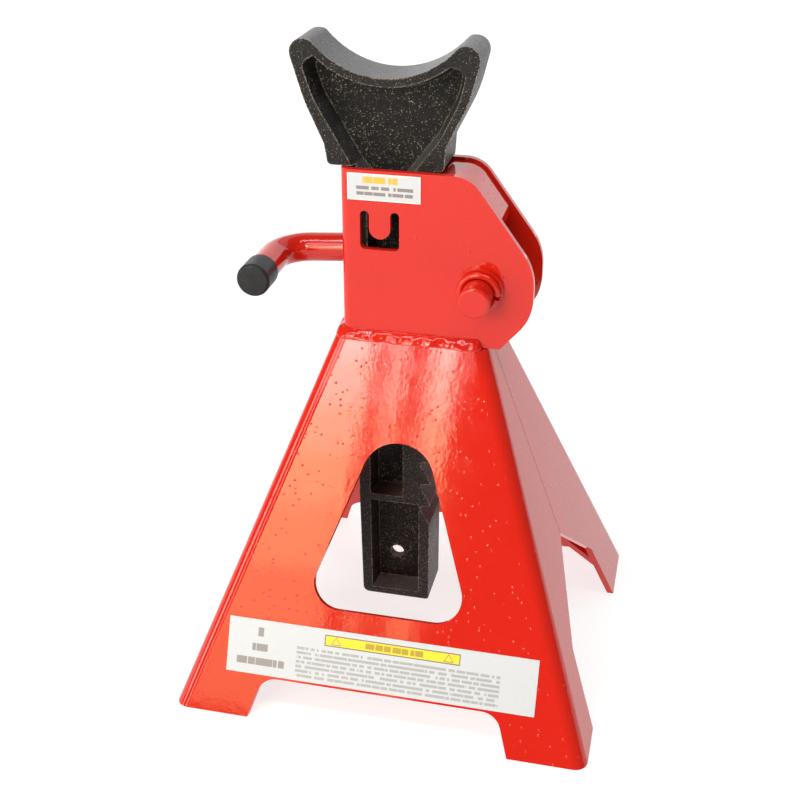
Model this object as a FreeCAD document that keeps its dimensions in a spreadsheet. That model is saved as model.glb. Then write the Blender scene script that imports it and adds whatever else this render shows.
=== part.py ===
"""Ratcheting axle jack stand: pressed steel base, folded tower, cast ratchet bar and lever with pawl.

Millimetres. +X runs along the front of the base to the pivot side, +Y to the back, +Z up.
The origin is the centre of the base's footprint, on the ground. The bar is fully lowered.
"""
import FreeCAD, Part
import math
import os
import re
import Sketcher

V = FreeCAD.Vector

DIMENSIONS = {
    # pressed base
    "sheet_thickness": 3.0,
    "base_half_width": 93.5,
    "base_half_depth": 86.5,
    "base_height": 160.0,
    "base_top_half_width": 34.0,
    "base_top_half_depth": 18.6,
    "base_wall": 3.2,
    "fold_radius": 6.5,
    "seam_gap": 0.4,
    "seam_shift": 6.3,
    "notch_half_width": 59.0,
    "notch_top_half_width": 53.0,
    "notch_height": 17.6,
    "notch_radius": 9.0,
    "window_bottom": 50.0,
    "window_top": 120.5,
    "window_bottom_half_width": 38.0,
    "window_top_half_width": 11.6,
    "window_bottom_radius": 12.0,
    "window_top_radius": 15.8,
    "side_arch_height": 66.5,
    "side_knee_depth": 40.5,
    "side_knee_height": 33.0,
    "side_tip_depth": 52.0,
    # corner plates in the feet
    "pad_bottom": 2.0,
    "pad_thickness": 3.0,
    "pad_reach": 147.0,
    "pad_corner_cut": 4.0,
    # tower
    "tower_left": -30.7,
    "tower_half_depth": 15.2,
    "tower_top": 235.0,
    "tower_tail_bottom": 148.0,
    "tower_tail_right": 28.5,
    "tower_bend_radius": 4.0,
    "ear_shoulder_right": 24.1,
    "ear_right": 51.9,
    "ear_upper_height": 197.4,
    "ear_lower_height": 175.9,
    "ear_bottom_right": 38.6,
    "ear_bottom_height": 160.4,
    "ear_shoulder_radius": 14.0,
    "ear_upper_radius": 25.0,
    "ear_lower_radius": 22.0,
    "slot_left": -22.1,
    "slot_right": -5.3,
    "slot_bottom": 200.8,
    "slot_top": 217.6,
    "tab_left": -18.2,
    "tab_right": -9.1,
    "tab_bottom": 205.6,
    "slot_corner_radius": 2.2,
    "slot_end_radius": 1.8,
    # strap across the top of the ears
    "strap_thickness": 3.0,
    "strap_inset": 1.2,
    "strap_lip_left": 9.0,
    "strap_lip_bottom": 225.0,
    "strap_end_x": 36.4,
    "strap_curl_radius": 4.2,
    "strap_shoulder_radius": 12.0,
    # strip that closes the tower below the pawl
    "guide_top": 168.0,
    "guide_right": 28.2,
    # weld beads
    "bead_height": 4.2,
    "front_bead_left": -29.0,
    "front_bead_right": 31.0,
    "seam_bead_width": 5.0,
    "seam_bead_rise": 2.0,
    "seam_bead_bottom": 72.0,
    "seam_bead_top": 150.0,
    # ratchet bar
    "bar_half_depth": 11.8,
    "stem_left": -25.0,
    "stem_right": 8.3,
    "stem_bottom_left": -23.8,
    "stem_bottom": 23.0,
    "stem_foot_left_radius": 3.0,
    "stem_foot_right_radius": 1.5,
    "neck_seat": 235.3,
    "neck_left": -36.4,
    "neck_right": 12.6,
    "neck_top": 245.5,
    "neck_radius": 2.0,
    "saddle_left": -51.4,
    "saddle_right": 26.6,
    "saddle_height": 286.0,
    "cradle_bottom": 271.8,
    "cradle_radius": 40.0,
    "web_half_thickness": 2.0,
    "rim_width": 3.4,
    "pocket_draft": 8.0,
    "saddle_draft": 12.5,
    "horn_radius": 5.5,
    "left_horn_lean": 1.9,
    "right_horn_lean": 1.3,
    "cradle_lip_radius": 3.6,
    "saddle_side_radius": 60.0,
    "recess_corner_radius": 4.0,
    "recess_side_radius": 25.0,
    "pocket_split_bottom": 75.5,
    "pocket_split_top": 78.8,
    "lower_pocket_right": 3.2,
    "upper_pocket_right": -4.4,
    "pocket_left": -19.8,
    "upper_pocket_top": 227.0,
    "bar_hole_diameter": 6.5,
    "bar_hole_x": -9.3,
    "bar_hole_z": 41.8,
    "tooth_pitch": 11.65,
    "tooth_count": 13,
    "tooth_depth": 4.2,
    "tooth_run": 10.0,
    "lowest_tooth_face": 75.5,
    # lever, pawl and what holds them
    "pivot_x": 29.4,
    "pivot_z": 187.0,
    "rod_diameter": 13.4,
    "rod_bore_clearance": 0.08,
    "rod_front": -31.0,
    "rod_end_round": 1.2,
    "arm_depth": 35.0,
    "arm_length": 102.8,
    "arm_droop": 4.4,
    "arm_bend_radius": 19.0,
    "handle_bend_radius": 14.2,
    "handle_length": 42.4,
    "ring_groove_front": -20.95,
    "ring_groove_rear": -17.85,
    "ring_groove_radius": 6.2,
    "ring_radius": 7.9,
    "ring_wire_radius": 1.45,
    "ring_sweep": 348.0,
    "ring_gap_angle": 98.0,
    "washer_radius": 10.1,
    "washer_thickness": 2.4,
    "cap_radius": 7.6,
    "cap_length": 14.0,
    "cap_end_thickness": 2.2,
    "cap_round": 1.6,
    "cap_rear_round": 0.8,
    "pawl_half_width": 10.9,
    "pawl_hub_radius": 10.8,
    "pawl_bite": 2.2,
    "pawl_play": 2.2,
    "pawl_tip": 2.5,
    "pawl_pin_radius": 2.0,
    "pawl_pin_wall": 0.7,
    "pawl_pin_slot": 0.8,
    "pawl_pin_length": 20.0,
    # stickers
    "label_thickness": 0.25,
    "base_label_left": -70.4,
    "base_label_right": 69.1,
    "base_label_bottom": 18.6,
    "base_label_top": 41.6,
    "caution_left": -27.2,
    "caution_right": 3.7,
    "caution_bottom": 222.3,
    "caution_top": 233.7,
}
FRONT_TILT = "atan((base_half_depth - base_top_half_depth) / base_height)"
SIDE_TILT = "atan((base_half_width - base_top_half_width) / base_height)"
FRONT_RISE = f"cos({FRONT_TILT})"
SIDE_RISE = f"cos({SIDE_TILT})"

doc = FreeCAD.newDocument("AxleJackStand")
sheet = doc.addObject("Spreadsheet::Sheet", "Dimensions")
for row, (alias, number) in enumerate(DIMENSIONS.items(), start=1):
    sheet.set(f"A{row}", alias)
    sheet.set(f"B{row}", str(number))
    sheet.setAlias(f"B{row}", alias)
doc.recompute()

NAMES = re.compile(r"\b(" + "|".join(DIMENSIONS) + r")\b")
SUB_PARTS = []


def bound(expression):
    """The expression with every dimension's name pointing into the spreadsheet."""
    return NAMES.sub(r"Dimensions.\1", str(expression))


def value(expression):
    """What an expression of dimensions comes to now."""
    return float(sheet.evalExpression(bound(expression)))


def new_body(label):
    """An empty body that will be exported under its label."""
    body = doc.addObject("PartDesign::Body", label)
    body.Label = label
    SUB_PARTS.append(body)
    return body


def origin_feature(body, role):
    """One of the body's own origin planes or axes."""
    return [feature for feature in body.Origin.OriginFeatures if feature.Role == role][0]


def new_sketch(body, plane, name, offset=None, axis=None, angle=None):
    """A sketch on one of the body's own origin planes, moved along the normal and turned about an axis."""
    sketch = body.newObject("Sketcher::SketchObject", f"{body.Name}_{name}")
    sketch.AttachmentSupport = [(origin_feature(body, plane), "")]
    sketch.MapMode = "FlatFace"
    if axis:
        sketch.AttachmentOffset = FreeCAD.Placement(V(), FreeCAD.Rotation(axis, 1.0))
        sketch.setExpression("AttachmentOffset.Rotation.Angle", bound(angle))
    if offset:
        sketch.setExpression("AttachmentOffset.Base.z", bound(offset))
    return sketch


def pin_point(sketch, edge, end, x, y):
    """Hold one end of an edge (or a circle's centre) at dimensioned distances from the sketch's origin."""
    for kind, distance in (("DistanceX", x), ("DistanceY", y)):
        index = sketch.addConstraint(Sketcher.Constraint(kind, -1, 1, edge, end, value(distance)))
        if NAMES.search(str(distance)):
            sketch.setExpression(f"Constraints[{index}]", bound(distance))


def add_polygon(sketch, corners):
    """A closed outline of straight edges through dimensioned corners."""
    points = [V(value(x), value(y), 0) for x, y in corners]
    first = sketch.GeometryCount
    for start, end in zip(points, points[1:] + points[:1]):
        sketch.addGeometry(Part.LineSegment(start, end), False)
    for i, (x, y) in enumerate(corners):
        following = first + (i + 1) % len(corners)
        sketch.addConstraint(Sketcher.Constraint("Coincident", first + i, 2, following, 1))
        pin_point(sketch, first + i, 1, x, y)


def add_circle(sketch, x, y, radius):
    """A circle with its centre and radius dimensioned."""
    centre = V(value(x), value(y), 0)
    edge = sketch.addGeometry(Part.Circle(centre, V(0, 0, 1), value(radius)), False)
    index = sketch.addConstraint(Sketcher.Constraint("Radius", edge, value(radius)))
    sketch.setExpression(f"Constraints[{index}]", bound(radius))
    pin_point(sketch, edge, 3, x, y)


def pad(body, sketch, length, both_ways=False, reverse=False, name="Pad"):
    """Pad a sketch by a dimensioned length."""
    feature = body.newObject("PartDesign::Pad", f"{body.Name}_{name}")
    feature.Profile = sketch
    feature.Midplane = both_ways
    feature.Reversed = reverse
    feature.setExpression("Length", bound(length))
    doc.recompute()
    return feature


def pocket(body, sketch, length=None, both_ways=False, reverse=False, name="Pocket"):
    """Cut a sketch out of the body, by a length or right through, and make sure that it cut something."""
    before = body.Shape.Volume
    feature = body.newObject("PartDesign::Pocket", f"{body.Name}_{name}")
    feature.Profile = sketch
    feature.Midplane = both_ways
    feature.Reversed = reverse
    if length is None:
        feature.Type = "ThroughAll"
    else:
        feature.setExpression("Length", bound(length))
    doc.recompute()
    if not body.Shape.Volume < before - 1e-3:
        raise RuntimeError(f"{feature.Name} cuts nothing")
    return feature


def edges_where(shape, test, along):
    """Names of the edges that run along an axis (roughly) and whose two ends both satisfy a test."""
    names = []
    for number, edge in enumerate(shape.Edges, start=1):
        if len(edge.Vertexes) == 2 and all(test(vertex.Point) for vertex in edge.Vertexes):
            start, end = (vertex.Point for vertex in edge.Vertexes)
            run = end - start
            if abs(run.dot(along)) > 0.5 * run.Length:
                names.append(f"Edge{number}")
    return names


def rims_where(shape, test):
    """Names of the closed edges whose own point satisfies a test."""
    return [
        f"Edge{number}"
        for number, edge in enumerate(shape.Edges, start=1)
        if len(edge.Vertexes) == 1 and test(edge.Vertexes[0].Point)
    ]


def round_edges(body, radius, names, name):
    """Round the named edges of the body's tip."""
    if not names:
        raise RuntimeError(f"{body.Name}: no edge to round for {name}")
    base = body.Tip
    feature = body.newObject("PartDesign::Fillet", f"{body.Name}_{name}")
    feature.Base = (base, names)
    feature.setExpression("Radius", bound(radius))
    doc.recompute()
    if {"Invalid", "Error"} & set(feature.State):
        raise RuntimeError(f"{feature.Name} failed")


def fillet(body, radius, test, name, along=V(0, 1, 0)):
    """Round the edges of the body's tip that run along an axis and satisfy a test."""
    round_edges(body, radius, edges_where(body.Tip.Shape, test, along), name)


def near(number, expression, slack=0.02):
    """Whether a coordinate is the given dimension."""
    return abs(number - value(expression)) < slack


def base_shell(label, turn):
    """Half of the pressed base: a sloping face with a window and a foot notch, and two side flanges."""
    body = new_body(label)
    wall_block(body, "Additive", "0", "seam_gap / 2 - seam_shift")
    fillet(body, "fold_radius", lambda p: on_fold(p, 0), "OuterFolds", along=V(0, 0, 1))
    wall_block(body, "Subtractive", "base_wall", "-seam_shift - 1")
    wall = value("base_wall")
    fillet(body, "fold_radius - base_wall", lambda p: on_fold(p, wall), "InnerFolds", along=V(0, 0, 1))
    cut_face_openings(body)
    shorten_right_flange(body)
    for name, side in (("right", 1), ("left", -1)):
        cut_side_arch(body, name, side)
    body.Placement = FreeCAD.Placement(V(), FreeCAD.Rotation(V(0, 0, 1), turn))
    return body


def wall_block(body, kind, inset, seam):
    """Add or take away the sloping block that one side of the wall bounds, from the seam outwards."""
    block = body.newObject(f"PartDesign::{kind}Wedge", f"{body.Name}_{kind}")
    block.AttachmentSupport = [(origin_feature(body, "XZ_Plane"), "")]
    block.MapMode = "FlatFace"
    sides = {
        "Ymin": "0",
        "Ymax": "base_height",
        "Xmin": f"{inset} - base_half_width",
        "Xmax": f"base_half_width - {inset}",
        "X2min": f"{inset} - base_top_half_width",
        "X2max": f"base_top_half_width - {inset}",
        "Zmin": seam,
        "Zmax": f"base_half_depth - {inset}",
        "Z2min": seam,
        "Z2max": f"base_top_half_depth - {inset}",
    }
    for name, side in sides.items():
        setattr(block, name, value(side))
        if NAMES.search(side):
            block.setExpression(name, bound(side))
    doc.recompute()


def on_fold(point, inset):
    """Whether a point is at the end of a fold between the face and a flange."""
    level = "base" if point.z < 1 else "base_top"
    across = abs(abs(point.x) - value(f"{level}_half_width") + inset)
    along = abs(abs(point.y) - value(f"{level}_half_depth") + inset)
    return across < 0.02 and along < 0.02


def cut_face_openings(body):
    """The window and the foot notch, punched square through the sloping face."""
    for name, corners in (
        (
            "window",
            [
                ("-window_bottom_half_width", "window_bottom"),
                ("window_bottom_half_width", "window_bottom"),
                ("window_top_half_width", "window_top"),
                ("-window_top_half_width", "window_top"),
            ],
        ),
        (
            "notch",
            [
                ("-notch_half_width - 2.0", "-6"),
                ("notch_half_width + 2.0", "-6"),
                ("notch_top_half_width", "notch_height"),
                ("-notch_top_half_width", "notch_height"),
            ],
        ),
    ):
        sketch = new_sketch(
            body,
            "XZ_Plane",
            name,
            offset="base_half_depth",
            axis=V(1, 0, 0),
            angle=f"-{FRONT_TILT}",
        )
        add_polygon(sketch, [(x, f"({z}) / {FRONT_RISE}") for x, z in corners])
        doc.recompute()
        pocket(body, sketch, "base_wall * 4", both_ways=True, name=f"{name}_cut")

    def at_height(height):
        level = value(height)
        slope = (value("base_half_depth") - value("base_top_half_depth")) / value("base_height")
        reach = value("base_wall") * 1.5

        def test(point):
            depth = value("base_half_depth") + point.y
            return abs(point.z - level) < reach and abs(depth - slope * point.z) < 2 * reach

        return test

    for name, height, half_width, radius in (
        ("WindowFoot", "window_bottom", "window_bottom_half_width", "window_bottom_radius"),
        ("WindowHead", "window_top", "window_top_half_width", "window_top_radius"),
        ("NotchHead", "notch_height", "notch_top_half_width", "notch_radius"),
    ):
        level = at_height(height)
        side = value(half_width)
        fillet(body, radius, lambda p: level(p) and abs(abs(p.x) - side) < 1.5, name)


def shorten_right_flange(body):
    """End the right flange short of the middle; the left one passes the middle by as much."""
    sketch = new_sketch(body, "XY_Plane", "flange_end")
    near_y = "-(seam_shift + seam_gap / 2)"
    far_y = "seam_shift + 2"
    far_x = "base_half_width + 2"
    add_polygon(sketch, [("base_wall", near_y), (far_x, near_y), (far_x, far_y), ("base_wall", far_y)])
    doc.recompute()
    pocket(body, sketch, "base_height + 2", reverse=True, name="flange_end_cut")


def cut_side_arch(body, name, side):
    """The arch between the front and rear legs on one side, centred on that side's seam."""
    middle = f"(-{side} * seam_shift)"
    sketch = new_sketch(body, "YZ_Plane", f"{name}_arch")
    add_polygon(
        sketch,
        [
            (f"{middle} + 2", "-1"),
            (f"{middle} + 2", "side_arch_height"),
            (middle, "side_arch_height"),
            (f"{middle} - side_knee_depth", "side_knee_height"),
            (f"{middle} - side_tip_depth", "0"),
            (f"{middle} - side_tip_depth", "-1"),
        ],
    )
    doc.recompute()
    pocket(body, sketch, "base_half_width + 2", reverse=side > 0, name=f"{name}_arch_cut")


def foot_pad(label, side, end):
    """A corner plate welded across the bottom of one leg. side and end are the signs of X and Y."""
    body = new_body(label)
    top = "(pad_bottom + pad_thickness)"
    slope_x = "(base_half_width - base_top_half_width) / base_height"
    slope_y = "(base_half_depth - base_top_half_depth) / base_height"
    right = f"(base_half_width - base_wall - {top} * {slope_x} - 0.05)"
    back = f"(base_half_depth - base_wall - {top} * {slope_y} - 0.05)"
    corners = [
        (f"pad_reach - {back}", back),
        (f"{right} - pad_corner_cut", back),
        (right, f"{back} - pad_corner_cut"),
        (right, f"pad_reach - {right}"),
    ]
    sketch = new_sketch(body, "XY_Plane", "outline", offset="pad_bottom")
    add_polygon(sketch, [(f"{side} * ({x})", f"{end} * ({y})") for x, y in corners])
    doc.recompute()
    pad(body, sketch, "pad_thickness")
    return body


def tower_housing():
    """The folded channel that holds the bar, with the pivot ears and the punched tab."""
    body = new_body("tower_housing")
    sketch = new_sketch(body, "XZ_Plane", "cheek")
    add_polygon(
        sketch,
        [
            ("tower_left", "tower_tail_bottom"),
            ("tower_tail_right", "tower_tail_bottom"),
            ("tower_tail_right", "ear_bottom_height"),
            ("ear_bottom_right", "ear_bottom_height"),
            ("ear_right", "ear_lower_height"),
            ("ear_right", "ear_upper_height"),
            ("ear_shoulder_right", "tower_top"),
            ("tower_left", "tower_top"),
        ],
    )
    doc.recompute()
    pad(body, sketch, "tower_half_depth * 2", both_ways=True)
    for name, x, z in (
        ("ear_shoulder", "ear_shoulder_right", "tower_top"),
        ("ear_upper", "ear_right", "ear_upper_height"),
        ("ear_lower", "ear_right", "ear_lower_height"),
    ):
        fillet(body, f"{name}_radius", lambda p: near(p.x, x) and near(p.z, z), name)
    fillet(body, "tower_bend_radius", lambda p: near(p.x, "tower_left"), "Bends", along=V(0, 0, 1))
    hollow = new_sketch(body, "XY_Plane", "hollow", offset="tower_top + 1")
    left = "(tower_left + sheet_thickness)"
    inside = "(tower_half_depth - sheet_thickness)"
    add_polygon(
        hollow,
        [(left, f"-{inside}"), ("ear_right + 1", f"-{inside}"), ("ear_right + 1", inside), (left, inside)],
    )
    doc.recompute()
    pocket(body, hollow, name="hollow_cut")
    fillet(
        body,
        "tower_bend_radius - sheet_thickness",
        lambda p: near(p.x, left) and near(abs(p.y), inside),
        "InnerBends",
        along=V(0, 0, 1),
    )
    bore = new_sketch(body, "XZ_Plane", "bore")
    add_circle(bore, "pivot_x", "pivot_z", "rod_diameter / 2 + rod_bore_clearance")
    doc.recompute()
    pocket(body, bore, "tower_half_depth * 2 + 2", both_ways=True, name="bore_cut")
    cut_tab_slot(body)
    return body


def cut_tab_slot(body):
    """The U-shaped slot in the front cheek that leaves a round-ended tab hanging from its top."""
    slot = new_sketch(body, "XZ_Plane", "slot", offset="tower_half_depth + 1")
    middle = "(tab_left + tab_right) / 2"
    radius = "(tab_right - tab_left) / 2"
    outline = [
        ("slot_left", "slot_top"),
        ("slot_left", "slot_bottom"),
        ("slot_right", "slot_bottom"),
        ("slot_right", "slot_top"),
        ("tab_right", "slot_top"),
        ("tab_right", f"tab_bottom + {radius}"),
        ("tab_left", f"tab_bottom + {radius}"),
        ("tab_left", "slot_top"),
    ]
    add_polygon(slot, outline)
    doc.recompute()
    pocket(body, slot, "sheet_thickness + 2", name="slot_cut")
    tab = new_sketch(body, "XZ_Plane", "tab", offset="tower_half_depth")
    add_circle(tab, middle, f"tab_bottom + {radius}", radius)
    doc.recompute()
    pad(body, tab, "sheet_thickness", reverse=True, name="tab_end")
    sides = ("slot_left", "slot_right")
    ends = ("slot_left", "slot_right", "tab_left", "tab_right")
    for name, level, columns in (("corner", "slot_bottom", sides), ("end", "slot_top", ends)):
        fillet(
            body,
            f"slot_{name}_radius",
            lambda p: near(p.z, level) and any(near(p.x, column) for column in columns),
            f"slot_{name}s",
        )


def top_strap():
    """The bent strip welded between the ears, its left end curled down beside the bar."""
    body = new_body("top_strap")
    sketch = new_sketch(body, "XZ_Plane", "band")
    fall = "(tower_top - ear_upper_height)"
    run = "(ear_right - ear_shoulder_right)"
    length = f"sqrt({fall} ^ 2 + {run} ^ 2)"
    drop = f"(strap_end_x - ear_shoulder_right) * {fall} / {run}"

    def knee(inset):
        """How far left of the shoulder's corner a band at this depth has its own corner."""
        return f"(ear_shoulder_right - {inset} * ({length} - {run}) / {fall})"

    def end_height(inset):
        return f"(tower_top - {drop} - {inset} * {length} / {run})"

    outer = "strap_inset"
    inner = "(strap_inset + strap_thickness)"
    add_polygon(
        sketch,
        [
            ("strap_lip_left", "strap_lip_bottom"),
            ("strap_lip_left + strap_thickness", "strap_lip_bottom"),
            ("strap_lip_left + strap_thickness", f"tower_top - {inner}"),
            (knee(inner), f"tower_top - {inner}"),
            ("strap_end_x", end_height(inner)),
            ("strap_end_x", end_height(outer)),
            (knee(outer), f"tower_top - {outer}"),
            ("strap_lip_left", f"tower_top - {outer}"),
        ],
    )
    doc.recompute()
    pad(body, sketch, "(tower_half_depth - sheet_thickness) * 2", both_ways=True)
    shoulder = value(knee(outer))
    shoulder_inner = value(knee(inner))
    fillet(
        body,
        "strap_curl_radius",
        lambda p: near(p.x, "strap_lip_left") and near(p.z, f"tower_top - {outer}"),
        "Curl",
    )
    fillet(
        body,
        "strap_curl_radius - strap_thickness",
        lambda p: near(p.x, "strap_lip_left + strap_thickness") and near(p.z, f"tower_top - {inner}"),
        "CurlInside",
    )
    fillet(body, "strap_shoulder_radius", lambda p: abs(p.x - shoulder) < 0.02, "Shoulder")
    fillet(
        body,
        "strap_shoulder_radius - strap_thickness",
        lambda p: abs(p.x - shoulder_inner) < 0.02,
        "ShoulderInside",
    )
    return body


def lower_guide_strap():
    """The folded strip that closes the tower below the pawl and guides the bar's toothed edge."""
    body = new_body("lower_guide_strap")
    sketch = new_sketch(body, "XZ_Plane", "band")
    add_polygon(
        sketch,
        [
            ("strap_lip_left", "tower_tail_bottom"),
            ("guide_right", "tower_tail_bottom"),
            ("guide_right", "tower_tail_bottom + strap_thickness"),
            ("strap_lip_left + strap_thickness", "tower_tail_bottom + strap_thickness"),
            ("strap_lip_left + strap_thickness", "guide_top"),
            ("strap_lip_left", "guide_top"),
        ],
    )
    doc.recompute()
    pad(body, sketch, "(tower_half_depth - sheet_thickness) * 2", both_ways=True)
    fillet(
        body,
        "strap_curl_radius",
        lambda p: near(p.x, "strap_lip_left") and near(p.z, "tower_tail_bottom"),
        "Fold",
    )
    return body


def weld_bead(label, plane, wall, edge, outward, start, end):
    """A fillet bead between the tower's wall and the base's top edge, padded from start to end."""
    body = new_body(label)
    sketch = new_sketch(body, plane, "section", offset=start)
    reach = f"(({edge}) - ({wall}))"
    corners = [
        (wall, "base_height"),
        (edge, "base_height"),
        (f"{edge} + {outward} * 0.4", "base_height + bead_height * 0.3"),
        (f"{wall} + {reach} * 0.72", "base_height + bead_height * 0.8"),
        (wall, "base_height + bead_height"),
    ]
    add_polygon(sketch, corners)
    doc.recompute()
    pad(body, sketch, f"{end} - {start}")
    return body


def tower_welds():
    """The beads round the foot of the tower."""
    for label, sign in (("tower_weld_front", -1), ("tower_weld_rear", 1)):
        weld_bead(
            label,
            "YZ_Plane",
            f"{sign} * tower_half_depth",
            f"{sign} * (base_top_half_depth - 0.2)",
            sign,
            "front_bead_left",
            "front_bead_right",
        )
    weld = new_body("tower_weld_left")
    sketch = new_sketch(weld, "XZ_Plane", "section")
    edge = "-(base_top_half_width - 0.2)"
    add_polygon(
        sketch,
        [
            ("tower_left", "base_height"),
            (edge, "base_height"),
            (f"{edge} - 0.4", "base_height + bead_height * 0.3"),
            (f"tower_left + ({edge} - tower_left) * 0.72", "base_height + bead_height * 0.8"),
            ("tower_left", "base_height + bead_height"),
        ],
    )
    doc.recompute()
    pad(weld, sketch, "tower_half_depth * 2 - 0.1", both_ways=True)


def seam_weld(label, side):
    """The bead inside a side seam, lying on the flanges' inner faces."""
    body = new_body(label)
    sketch = new_sketch(
        body,
        "YZ_Plane",
        "outline",
        offset=f"{side} * (base_half_width - base_wall)",
        axis=V(1, 0, 0),
        angle=f"-{side} * {SIDE_TILT}",
    )
    front = f"(-{side} * seam_shift - seam_bead_width / 2)"
    back = f"(-{side} * seam_shift + seam_bead_width / 2)"
    low = f"seam_bead_bottom / {SIDE_RISE}"
    high = f"seam_bead_top / {SIDE_RISE}"
    add_polygon(sketch, [(front, low), (back, low), (back, high), (front, high)])
    doc.recompute()
    pad(body, sketch, "seam_bead_rise", reverse=side > 0)
    return body


def ratchet_bar():
    """The casting: cradle, saddle, neck and toothed stem, with pockets that leave rims and a web."""
    body = new_body("ratchet_bar")
    sketch = new_sketch(body, "XZ_Plane", "outline")
    corners = [
        ("stem_bottom_left", "stem_bottom"),
        ("stem_right", "stem_bottom"),
        ("stem_right", "neck_seat"),
        ("neck_right", "neck_seat"),
        ("neck_right + 0.6", "neck_top"),
        ("saddle_right - 4.0", "saddle_height - 21.5"),
        ("saddle_right + right_horn_lean", "saddle_height"),
        ("saddle_left - left_horn_lean", "saddle_height"),
        ("saddle_left + 5.6", "saddle_height - 24.6"),
        ("neck_left - 1.4", "neck_top - 1.5"),
        ("neck_left", "neck_seat"),
        ("stem_left", "neck_seat"),
        ("stem_left", "pocket_split_top"),
    ]
    add_polygon(sketch, corners)
    doc.recompute()
    pad(body, sketch, "bar_half_depth * 2", both_ways=True)
    for name, radius, x, z in (
        ("FootLeft", "stem_foot_left_radius", "stem_bottom_left", "stem_bottom"),
        ("FootRight", "stem_foot_right_radius", "stem_right", "stem_bottom"),
        ("NeckLeft", "neck_radius", "neck_left", "neck_seat"),
        ("NeckRight", "neck_radius", "neck_right", "neck_seat"),
        ("HornLeft", "horn_radius", "saddle_left - left_horn_lean", "saddle_height"),
        ("HornRight", "horn_radius", "saddle_right + right_horn_lean", "saddle_height"),
        ("SideLeft", "saddle_side_radius", "saddle_left + 5.6", "saddle_height - 24.6"),
        ("SideRight", "saddle_side_radius", "saddle_right - 4.0", "saddle_height - 21.5"),
    ):
        fillet(body, radius, lambda p: near(p.x, x) and near(p.z, z), name)
    cradle = new_sketch(body, "XZ_Plane", "cradle")
    add_circle(
        cradle,
        "(saddle_left + saddle_right) / 2",
        "cradle_bottom + cradle_radius",
        "cradle_radius",
    )
    doc.recompute()
    pocket(body, cradle, "bar_half_depth * 2 + 2", both_ways=True, name="cradle_cut")
    drop = value("cradle_bottom + cradle_radius - saddle_height")
    lip = math.sqrt(value("cradle_radius") ** 2 - drop**2)
    middle = value("(saddle_left + saddle_right) / 2")
    fillet(
        body,
        "cradle_lip_radius",
        lambda p: near(p.z, "saddle_height") and abs(abs(p.x - middle) - lip) < 0.02,
        "CradleLips",
    )
    cut_bar_pockets(body)
    round_recess(body)
    hole = new_sketch(body, "XZ_Plane", "hole")
    add_circle(hole, "bar_hole_x", "bar_hole_z", "bar_hole_diameter / 2")
    doc.recompute()
    pocket(body, hole, "bar_half_depth * 2", both_ways=True, name="hole_cut")
    cut_teeth(body)
    return body


def cut_bar_pockets(body):
    """Front and back pockets of the stem and saddle, down to a central web."""
    outlines = {
        "lower": [
            ("pocket_left + 0.6", "stem_bottom + 3.4"),
            ("lower_pocket_right", "stem_bottom + 3.4"),
            ("lower_pocket_right", "pocket_split_bottom"),
            ("pocket_left", "pocket_split_bottom"),
        ],
        "upper": [
            ("pocket_left", "pocket_split_top"),
            ("upper_pocket_right", "pocket_split_top"),
            ("upper_pocket_right", "upper_pocket_top"),
            ("pocket_left", "upper_pocket_top"),
        ],
        "saddle": [
            ("pocket_left + 1.2", "upper_pocket_top"),
            ("upper_pocket_right - 1.2", "upper_pocket_top"),
            ("neck_right - 11.8", "neck_seat"),
            ("neck_right - 2.0", "neck_top + 2.6"),
            ("saddle_right - 8.4", "saddle_height - 22.6"),
            ("saddle_right - 5.2", "saddle_height - 9.2"),
            *under_cradle(),
            ("saddle_left + 4.6", "saddle_height - 9.6"),
            ("saddle_left + 9.6", "saddle_height - 24.0"),
            ("neck_left + 4.0", "neck_top + 0.6"),
            ("neck_left + 10.4", "neck_seat"),
        ],
    }
    for name, corners in outlines.items():
        for side, face in (("front", 1), ("back", -1)):
            sketch = new_sketch(
                body, "XZ_Plane", f"{name}_{side}", offset=f"{face} * (bar_half_depth + 0.001)"
            )
            add_polygon(sketch, corners)
            doc.recompute()
            cut = pocket(
                body,
                sketch,
                "bar_half_depth - web_half_thickness",
                reverse=face < 0,
                name=f"{name}_{side}_cut",
            )
            draft = "saddle_draft" if name == "saddle" else "pocket_draft"
            cut.setExpression("TaperAngle", bound(f"-{draft}"))
            doc.recompute()


def round_recess(body):
    """Round the upright corners of the saddle's recesses, front and back."""
    for name, radius, x, z in (
        ("TopLeft", "recess_corner_radius", "saddle_left + 4.6", "saddle_height - 9.6"),
        ("TopRight", "recess_corner_radius", "saddle_right - 5.2", "saddle_height - 9.2"),
        ("SideLeft", "recess_side_radius", "saddle_left + 9.6", "saddle_height - 24.0"),
        ("SideRight", "recess_side_radius", "saddle_right - 8.4", "saddle_height - 22.6"),
    ):
        corner = V(value(x), 0, value(z))
        fillet(body, radius, lambda p: V(p.x - corner.x, 0, p.z - corner.z).Length < 3.5, f"Recess{name}")


def under_cradle():
    """Corners that follow the cradle's arc, one rim's width below it, from right to left."""
    middle = "(saddle_left + saddle_right) / 2"
    reach = "(cradle_radius + rim_width)"
    return [
        (
            f"{middle} + {reach} * sin({angle})",
            f"cradle_bottom + cradle_radius - {reach} * cos({angle})",
        )
        for angle in range(38, -45, -4)
    ]


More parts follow.
